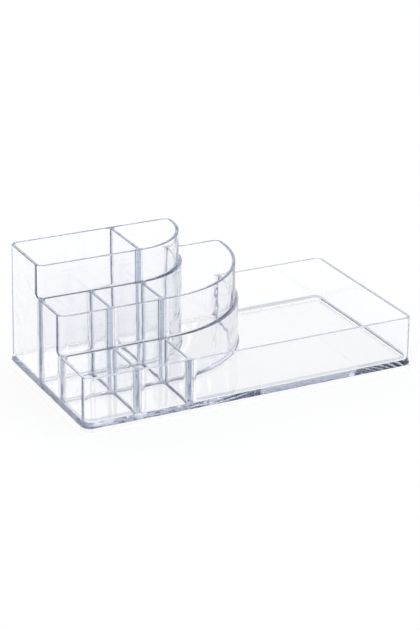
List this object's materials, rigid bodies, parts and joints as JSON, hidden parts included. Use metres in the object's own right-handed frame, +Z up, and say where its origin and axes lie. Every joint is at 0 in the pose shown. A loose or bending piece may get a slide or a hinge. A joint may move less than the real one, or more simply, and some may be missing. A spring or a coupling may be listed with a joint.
{
  "type": "vanity organizer",
  "caption": "Clear stepped vanity organizer with upright pockets on tiers at one side and a low open tray at the other.",
  "frame": {"origin": "on the ground, under the middle of the footprint", "axes": "+X to the right along the length, towards the low tray; +Y to the back, towards the tallest tier; +Z up"},
  "size_m": [0.2394, 0.1284, 0.0835],
  "materials": {
    "clear_base": "clear, polished, with a faint cool tint",
    "clear_wall": "clear, polished",
    "clear_divider": "clear, polished"
  },
  "bodies": {
    "root": {"skirt_frame": "clear_base", "floor_panel": "clear_base", "rear_tier_wall": "clear_wall", "middle_tier_wall": "clear_wall", "front_tier_wall": "clear_wall", "rear_divider": "clear_divider", "middle_divider_left": "clear_divider", "middle_divider_right": "clear_divider", "front_divider_left": "clear_divider", "front_divider_right": "clear_divider"}
  },
  "joints": []
}
